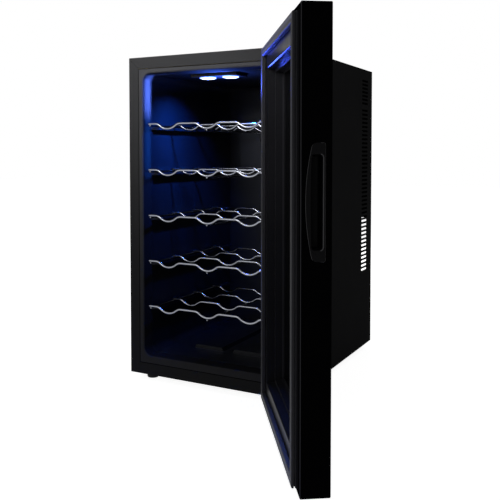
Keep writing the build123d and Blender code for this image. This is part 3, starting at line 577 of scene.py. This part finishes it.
def wire_tube(path, radius, sides=14):
    """A circle carried along the path, square to it, with a rounded end at both ends."""
    way = np.gradient(path, axis=0)
    way /= np.linalg.norm(way, axis=1, keepdims=True)
    fixed = np.eye(3)[np.argmin(np.abs(way).max(axis=0))]
    side = np.cross(way, fixed)
    side /= np.linalg.norm(side, axis=1, keepdims=True)
    over = np.cross(side, way)
    turn = np.linspace(0, 2 * pi, sides + 1)
    ring = np.cos(turn)[:, None] * side[:, None] + np.sin(turn)[:, None] * over[:, None]
    body = path[:, None] + radius * ring
    round_off = np.radians((90, 60, 30))
    start = [path[0] - radius * sin(a) * way[0] + radius * cos(a) * ring[0] for a in round_off]
    end = [path[-1] + radius * sin(a) * way[-1] + radius * cos(a) * ring[-1] for a in round_off[::-1]]
    return np.concatenate([start, body, end])


shelf_count = 5
wave_rows = 4
row_pitch = 0.080
row_from_front = 0.0023
rail_step = 0.0036
rail_from_end = 0.003
for number in range(1, shelf_count + 1):
    shelf_low, shelf_high = np.array(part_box(f"shelf_{number}"))
    middle_x = (shelf_low[0] + shelf_high[0]) / 2
    half_width = (shelf_high[0] - shelf_low[0]) / 2 - wire_radius
    valley_z = shelf_high[2] - wire_radius - valley_depth
    crest_z = valley_z + valley_depth
    first_row = shelf_low[1] + row_from_front
    across = np.linspace(-half_width, half_width, 181)
    wires = []
    for row in range(wave_rows):
        y = first_row + row_pitch * row
        path = np.stack([middle_x + across, np.full_like(across, y), valley_z + wave_height(across)], axis=1)
        wires.append(wire_tube(path, wire_radius))
    rail_x = half_width - rail_from_end
    rails = [(-rail_x, crest_z - rail_step), (rail_x, crest_z - rail_step), (0, valley_z - rail_step)]
    for x, z in rails:
        ends = np.array([(middle_x + x, first_row, z), (middle_x + x, shelf_high[1] - wire_radius, z)])
        wires.append(wire_tube(ends, wire_radius))
    shelf = add_piece(f"wave_wire_shelf_{number}", wires, shelf_chrome, crease=50)
    set_on(shelf, f"shelf_{number}", "shelf_chrome", f"shelf_{number}")

# Door frame: a moulded ring, black and polished on its outside, with the front glass let into its face.
# Its back corner carries a painted highlight, a narrow paler band along the free edge.
hinge = next(joint for joint in frame["record"]["behaviour"]["joints"] if joint["name"] == "door_hinge")
hinge_x, hinge_y = hinge["pos_m"][:2]
open_angle = -radians(hinge["range_deg"][0])


def swung(points, angle):
    """Points turned by an angle about the upright hinge axis."""
    x, y, z = np.moveaxis(np.asarray(points, float), -1, 0)
    across = hinge_x + (x - hinge_x) * cos(angle) - (y - hinge_y) * sin(angle)
    ahead = hinge_y + (x - hinge_x) * sin(angle) + (y - hinge_y) * cos(angle)
    return np.stack([across, ahead, z], axis=-1)


def shut_box(name):
    """Lowest and highest corner of a door node with the door shut."""
    mesh = node_objects[name].data
    flat = np.empty(3 * len(mesh.vertices))
    mesh.vertices.foreach_get("co", flat)
    shut = swung(flat.reshape(-1, 3), -open_angle)
    return shut.min(axis=0), shut.max(axis=0)


def shut_place(start):
    """Across, ahead and up for a point of the door, turned back about the hinge as if the door were shut."""
    x, y, z = map(start.axis, "XYZ")
    turn_cos, turn_sin = cos(open_angle), sin(open_angle)
    across = x * turn_cos + y * turn_sin + (hinge_x - hinge_x * turn_cos - hinge_y * turn_sin)
    ahead = y * turn_cos - x * turn_sin + (hinge_y + hinge_x * turn_sin - hinge_y * turn_cos)
    return across, ahead, z


frame_low, frame_high = shut_box("door_frame")
# Width of the painted highlight along the back corner.
edge_highlight_width = 0.0012


def door_frame_signals(start):
    """Polished black; a narrow band along the back corner of the free edge is a paler painted highlight."""
    across, ahead, _ = shut_place(start)
    near_edge = across < float(frame_low[0]) + edge_highlight_width
    near_back = ahead > float(frame_high[1]) - edge_highlight_width
    cloud = start.noise(0.08, detail=4)
    skin = cloud.tint((0.0016, 0.0016, 0.0019, 1), (0.0030, 0.0030, 0.0034, 1))
    return {
        # The paler band is a painted highlight.
        "Base Color": start.blend(near_edge * near_back, skin, (0.05, 0.05, 0.055, 1)),
        "Roughness": start.noise(0.018, detail=2).span(0.16, 0.28),
        "Normal": start.noise(0.003, detail=1).relief(0.00001),
    }


door_plastic = finish("door_plastic", door_frame_signals, Specular_IOR_Level=0.0)
dress(door_plastic, "door_frame")

# Door liner: the inner frame that closes the back of the door and holds the inner glass.
# Its back is polished, and the stepped jamb inside it is a paler satin.
liner_back = shut_box("door_liner")[1][1]
jamb_depth = 0.0015


def door_liner_signals(start):
    """The satin of the jamb begins a little below the back face."""
    jamb = shut_place(start)[1] < float(liner_back) - jamb_depth
    cloud = start.noise(0.07, detail=4)
    back = cloud.tint((0.005, 0.005, 0.006, 1), (0.008, 0.008, 0.010, 1))
    satin = cloud.tint((0.013, 0.013, 0.015, 1), (0.019, 0.019, 0.022, 1))
    return {
        "Base Color": start.blend(jamb, back, satin),
        "Roughness": start.noise(0.016, detail=2).span(0.25, 0.36),
        "Normal": start.noise(0.002, detail=1).relief(0.00002),
    }


door_inner_plastic = finish("door_inner_plastic", door_liner_signals, Specular_IOR_Level=0.012)
dress(door_inner_plastic, "door_liner")

# Gasket: soft black extrusion pressed into the door liner, mitred and welded at its corners.
# Its section has a flat foot, a fold at the outer side and a rounded sealing bead.
gasket_rubber = finish(
    "gasket_rubber",
    grained((0.020, 0.020, 0.023), (0.032, 0.032, 0.036), 0.012, (0.5, 0.64), 0.0005, 0.00003),
    Specular_IOR_Level=0.1,
)
seal_low, seal_high = shut_box("door_gasket")
seal_width = 0.014
seal_height = seal_high[1] - seal_low[1]


def gasket_profile():
    """Section as (distance in from the outer side, height), as shares of the width and height.

    It runs from the foot over the outer fold, the bead and the hollow top to the inner side.
    """
    fold = [(0.0, 0.0), (0.0, 0.22), (0.13, 0.30), (0.13, 0.42), (0.0, 0.50)]
    bead_width, bead_height, hollow = 0.16, 0.26, 0.12
    bead = arc((0, 0), 1.0, 180, 90, 7) * (bead_width, bead_height) + (bead_width, 1 - bead_height)
    top = np.stack([np.linspace(0.22, 0.78, 9), 1 - hollow * np.sin(np.linspace(0, pi, 9))], axis=1)
    inner = arc((0, 0), 1.0, 90, 0, 7) * (bead_width, bead_height) + (1 - bead_width, 1 - bead_height)
    foot = [(1.0, 0.12), (0.94, 0.0), (0.0, 0.0)]
    return np.concatenate([fold, bead, top, inner, foot]) * (seal_width, seal_height)


def framed(profile, low, high, back):
    """A section carried round an upright rectangle from low to high, mitred at its corners."""
    inset, height = profile[:, 0], profile[:, 1]
    corner_x = (low[0], high[0], high[0], low[0], low[0])
    corner_z = (low[2], low[2], high[2], high[2], low[2])
    inward_x, inward_z = (1, -1, -1, 1, 1), (1, 1, -1, -1, 1)
    rows = [
        np.stack([x + u * inset, back + height, z + w * inset], axis=1)
        for x, z, u, w in zip(corner_x, corner_z, inward_x, inward_z)
    ]
    return np.stack(rows)


gasket_shape = framed(gasket_profile(), seal_low, seal_high, seal_low[1])
gasket = add_piece("sealing_gasket", [swung(gasket_shape, open_angle)], gasket_rubber, crease=40)
set_on(gasket, "door", "gasket_rubber", "door_gasket")

# Glass: two tinted panes, the front one flush with the door's face, the inner one behind the door liner.
# Both are polished and deeply tinted, so a bright room shows through them only as grey.
def glass_signals(start):
    """Clear polish with the faintest wiping marks."""
    wipe = start.noise(0.05, stretch=(1, 1, 3), detail=5)
    return {"Roughness": (wipe * wipe).span(0.004, 0.034)}


door_glass = finish(
    "door_glass",
    glass_signals,
    Base_Color=(0.012, 0.013, 0.016, 1),
    Transmission_Weight=1.0,
    IOR=1.46,
    Specular_IOR_Level=0.35,
)
dress(door_glass, "front_glass", "inner_glass")

# Handle: a moulded insert in the door's free edge, straight towards the front and bowed towards the back,
# with a deep finger pocket along it. Satin, a shade lighter than the door.
handle_flange = 0.002
flange_low, flange_high = shut_box("handle_insert")
handle_low = flange_low + (0, handle_flange, handle_flange)
handle_high = flange_high - (0, handle_flange, handle_flange)
handle_bow = 0.009
handle_corners = (0.0025, 0.006)
handle_proud = 0.0008
door_wall = 0.004
pocket_wall = 0.0015
pocket_width = 0.0145
pocket_length = 0.121
pocket_depth = 0.0195
pocket_from_front = 0.0034
pocket_corner = 0.004
pocket_bow = 0.001
pocket_mouth = 0.0016
pocket_draft = 0.0010
half_way_depth, half_way_draft = 0.010, 0.0004
pocket_floor = (0.0028, 0.004)
handle_edge = handle_low[0] + handle_proud
# Widths and depth of the painted highlight on the handle's rims.
rim_highlight_width = 0.0013
front_highlight_width = 0.0065
# The painted highlight ends, and the painted shade of the pocket begins, at the second depth.
highlight_begins, highlight_ends_shade_begins = -0.0007, 0.0009


def handle_signals(start):
    """Satin on the face and, by the depth under the door's edge face, painted shade inside the pocket.

    Where the bow and the front edge of the pocket turn in, a painted highlight makes the skin pale.
    """
    across, ahead, z = shut_place(start)
    depth = across - float(handle_edge)
    height = float(handle_high[2] - handle_low[2])
    up = (z - float(handle_high[2] + handle_low[2]) / 2) * (2 / height)
    bow_line = float(handle_high[1]) - up * up * handle_bow
    bow_rim = ahead > bow_line - rim_highlight_width
    front_edge_highlight = ahead < float(handle_low[1]) + front_highlight_width
    # Painted highlight along the bow's rim and the pocket's front edge.
    highlight_mask = (depth > highlight_begins) * start.math("MAXIMUM", bow_rim, front_edge_highlight)
    cloud = start.noise(0.02, detail=4)
    face = cloud.tint((0.0050, 0.0050, 0.0055, 1), (0.0072, 0.0072, 0.0078, 1))
    outside = start.blend(highlight_mask, face, (0.10, 0.10, 0.104, 1))
    return {
        # Past that depth the pocket's colour is painted shade.
        "Base Color": start.blend(depth > highlight_ends_shade_begins, outside, (0.0014, 0.0014, 0.0018, 1)),
        "Roughness": cloud.span(0.36, 0.48),
        "Normal": start.noise(0.0008, detail=1).relief(0.00002),
    }


handle_plastic = finish("handle_plastic", handle_signals, Specular_IOR_Level=0.03)


def rounded_loop(width, height, front_corner, back_corner, along=22, corner=7):
    """A closed rectangle about the origin with two corner radii, the same count of points for any size."""
    turns = ((1, 1, 0), (-1, 1, 90), (-1, -1, 180), (1, -1, 270))
    radii = (back_corner, front_corner, front_corner, back_corner)
    corners = [
        arc((a * (width / 2 - radius), b * (height / 2 - radius)), radius, start, start + 90, corner)
        for (a, b, start), radius in zip(turns, radii)
    ]
    sides = []
    for here, there in zip(corners, corners[1:] + corners[:1]):
        share = np.linspace(0, 1, along + 2)[1:-1, None]
        sides += [here, here[-1] + share * (there[0] - here[-1])]
    return np.concatenate(sides + [corners[0][:1]])


def handle_loop(inset):
    """The insert's outline, drawn in by inset: the side towards the back bows out in a flat parabola."""
    width = handle_high[1] - handle_low[1] - handle_bow
    height = handle_high[2] - handle_low[2]
    radii = [radius - inset for radius in handle_corners]
    loop = rounded_loop(width - 2 * inset, height - 2 * inset, *radii)
    towards_back = np.clip(loop[:, 0] / (width - 2 * inset) + 0.5, 0, 1)
    bow = handle_bow * (1 - (2 * loop[:, 1] / height) ** 2) * towards_back
    return np.stack([loop[:, 0] + width / 2 + bow, loop[:, 1]], axis=1)


def pocket_loop(grow):
    """The finger pocket's outline, grown by this much, its back side bowed a little like the insert's."""
    radius = pocket_corner + grow
    loop = rounded_loop(pocket_width + 2 * grow, pocket_length + 2 * grow, radius, radius)
    towards_back = np.clip(loop[:, 0] / pocket_width + 0.5, 0, 1)
    bow = pocket_bow * np.clip(1 - (2 * loop[:, 1] / pocket_length) ** 2, 0, 1) * towards_back
    return np.stack([loop[:, 0] + pocket_from_front + pocket_width / 2 + bow, loop[:, 1]], axis=1)


def handle_rings():
    """Loops (across, up, depth) from the cup's back over the hidden flange, rim and face into the pocket."""
    flange_depth = door_wall + handle_flange
    cup = [(pocket_loop(pocket_wall), pocket_depth + pocket_wall), (pocket_loop(pocket_wall), flange_depth)]
    flange = [(handle_loop(-handle_flange), flange_depth), (handle_loop(-handle_flange), door_wall)]
    rim = [(handle_loop(0.0), door_wall), (handle_loop(0.0), 0.0)]
    quarter = np.radians((30, 60, 90))
    rim += [(handle_loop(handle_proud * (1 - cos(a))), -handle_proud * sin(a)) for a in quarter]
    mouth = [
        (pocket_loop(pocket_mouth * (1 - sin(a))), -handle_proud + pocket_mouth * (1 - cos(a)))
        for a in (0, *quarter)
    ]
    floor_reach, floor_rise = pocket_floor
    wall_end = pocket_depth - floor_rise
    wall = [(pocket_loop(-half_way_draft), half_way_depth), (pocket_loop(-pocket_draft), wall_end)]
    floor = [
        (pocket_loop(-pocket_draft - floor_reach * (1 - cos(a))), wall_end + floor_rise * sin(a))
        for a in quarter
    ]
    return cup + flange + rim + mouth + wall + floor


def handle_grid():
    """The loops stacked as one surface, closed at the cup's back and at the pocket's floor."""
    middle = handle_low[2] + (handle_high[2] - handle_low[2]) / 2
    rows = []
    for loop, depth in handle_rings():
        across = np.full(len(loop), handle_edge + depth)
        rows.append(np.stack([across, handle_low[1] + loop[:, 0], middle + loop[:, 1]], axis=1))
    back_line, floor_line = (row * (1, 0, 1) + row.mean(axis=0) * (0, 1, 0) for row in (rows[0], rows[-1]))
    return np.stack([back_line] + rows + [floor_line])


handle = add_piece("bowed_handle", [swung(handle_grid(), open_angle)], handle_plastic, crease=40)
set_on(handle, "door", "handle_plastic", "handle_insert")

# Studio: a white floor that fades into a white surround, a key light over the front left, a fill light from
# the front and a back light for the rear. The blue lights are the lamp's: a beam from each lens, and what the
# ceiling, the collar and the door catch of it.
floor_size = 8.0
floor_glow = 0.92
ambient = 0.16
floor_line = np.linspace(-floor_size, floor_size, 3)
floor_grid = np.stack(np.meshgrid(floor_line, floor_line, [0.0], indexing="ij"), axis=-1)[:, :, 0]


def seen_directly(start):
    """1 for rays from the camera, off metal or through glass, 0 for the light that falls on the object."""
    rays = [
        start.make("ShaderNodeLightPath", output=kind)
        for kind in ("Is Camera Ray", "Is Glossy Ray", "Is Transmission Ray")
    ]
    return start.math("MAXIMUM", start.math("MAXIMUM", rays[0], rays[1]), rays[2])


floor_white = bpy.data.materials.new("floor_white")
floor_white.use_nodes = True
floor_tree = floor_white.node_tree
floor_tree.nodes.remove(floor_tree.nodes["Principled BSDF"])
floor_start = Signal(floor_tree)
paper = floor_start.make("ShaderNodeBsdfDiffuse", inputs={"Color": (0.9, 0.9, 0.9, 1)})
glow = floor_start.make("ShaderNodeEmission", inputs={"Strength": seen_directly(floor_start) * floor_glow})
both = floor_start.make("ShaderNodeAddShader", inputs={0: paper, 1: glow})
floor_tree.links.new(both.socket, floor_tree.nodes["Material Output"].inputs["Surface"])
floor = add_piece("studio_floor", [floor_grid], floor_white)

surround = bpy.data.worlds.new("white_surround")
bpy.context.scene.world = surround
surround.use_nodes = True
sky = Signal(surround.node_tree)
surround.node_tree.nodes["Background"].inputs["Color"].default_value = (1, 1, 1, 1)
strength = seen_directly(sky).span(ambient, 1.0)
surround.node_tree.links.new(strength.socket, surround.node_tree.nodes["Background"].inputs["Strength"])


def add_light(name, place, aim, size, watts, colour, spread=180, height=None):
    """A round or upright oval area light at place that faces aim, its beam held to the angle spread."""
    light = bpy.data.lights.new(name, "AREA")
    light.shape = "ELLIPSE"
    light.size = size
    light.size_y = height or size
    light.energy = watts
    light.color = colour
    light.spread = radians(spread)
    lamp = bpy.data.objects.new(name, light)
    way = Vector(aim) - Vector(place)
    lamp.location = place
    lamp.rotation_euler = way.to_track_quat("-Z", "Y").to_euler()
    bpy.context.scene.collection.objects.link(lamp)


white = (1, 1, 1)
add_light("key_light", (-0.10, -0.80, 1.02), (0.06, -0.03, 0.79), 0.6, 2.2, white, spread=46)
add_light("fill_light", (-0.50, -1.50, 0.50), (0.10, 0.0, 0.25), 1.0, 2.6, white)
add_light("back_light", (-0.60, 1.80, 0.95), (0.14, 0.43, 0.30), 1.0, 7.0, white)
strip_x, strip_y, strip_aim, strip_width = 0.06, -0.012, -0.003, 0.006
for name, z, height, watts, colour in (
    ("collar_beam", 0.572, 0.096, 0.22, (0.11, 0.21, 1.0)),
    ("collar_wash", 0.510, 0.22, 0.060, (0.01, 0.16, 1.0)),
):
    place, aim = (strip_x, strip_y, z), (strip_aim, strip_y, z)
    add_light(name, place, aim, strip_width, watts, colour, spread=26, height=height)
beam_gap = 0.001
beam_size = 0.026
left_lens, right_lens = ((x, lens_middle[1], lens_low[2] - beam_gap) for x in lens_places)
add_light("left_beam", left_lens, (0.0, 0.070, 0.446), beam_size, 1.25, (0.01, 0.13, 1.0), spread=82)
add_light("right_beam", right_lens, (0.282, 0.075, 0.472), beam_size, 1.0, (0.01, 0.11, 1.0), spread=64)
add_light("ceiling_glow", (0.151, 0.016, 0.573), (0.151, 0.012, 0.62), 0.03, 1.0, (0.06, 0.17, 1.0))
add_light("door_wash", (0.22, -0.01, 0.30), (0.43, -0.28, 0.03), 0.05, 0.15, (0.10, 0.2, 1.0), spread=70)
add_light("door_glow", (0.20, 0.0, 0.575), (0.345, -0.115, 0.612), 0.026, 0.07, (0.05, 0.09, 1.0), spread=60)

camera_data = bpy.data.cameras.new("photo_camera")
camera_data.lens = 50.20
camera_data.sensor_width = 36.0
camera_data.shift_y = -0.1407
camera = bpy.data.objects.new("photo_camera", camera_data)
camera.location = (0.8290, -1.1481, 0.4557)
camera.rotation_euler = (radians(87.754), 0.0, radians(27.847))
bpy.context.scene.collection.objects.link(camera)
bpy.context.scene.camera = camera
bpy.context.scene.view_settings.view_transform = "Standard"
